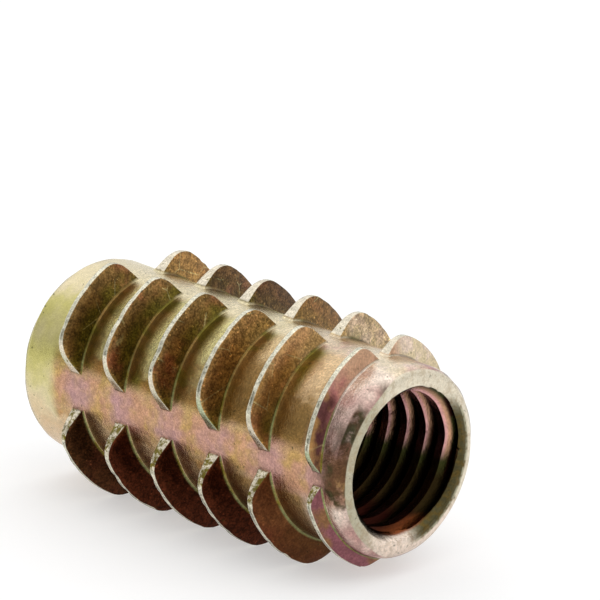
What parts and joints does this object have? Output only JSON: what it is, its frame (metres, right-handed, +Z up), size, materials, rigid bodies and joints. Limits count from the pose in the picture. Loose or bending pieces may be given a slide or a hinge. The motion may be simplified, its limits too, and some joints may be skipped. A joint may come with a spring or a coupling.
{
  "type": "threaded insert",
  "caption": "Tapered die-cast sleeve with coarse outer fins broken by V grooves, a threaded bore and a hexagon drive socket, for a screw joint in wood.",
  "frame": {"origin": "point on the floor under the middle of the insert's bounding box", "axes": "+X along the insert towards its lead end, +Z up; the screw axis dips 1.50 degrees towards the lead end, because the tapered insert lies on its fins"},
  "size_m": [0.0232, 0.0124, 0.0124],
  "materials": {
    "zinc": "yellow iridescent passivation on die-cast zinc, satin, with green and pink tints"
  },
  "bodies": {
    "root": {"insert": "zinc"}
  },
  "joints": []
}
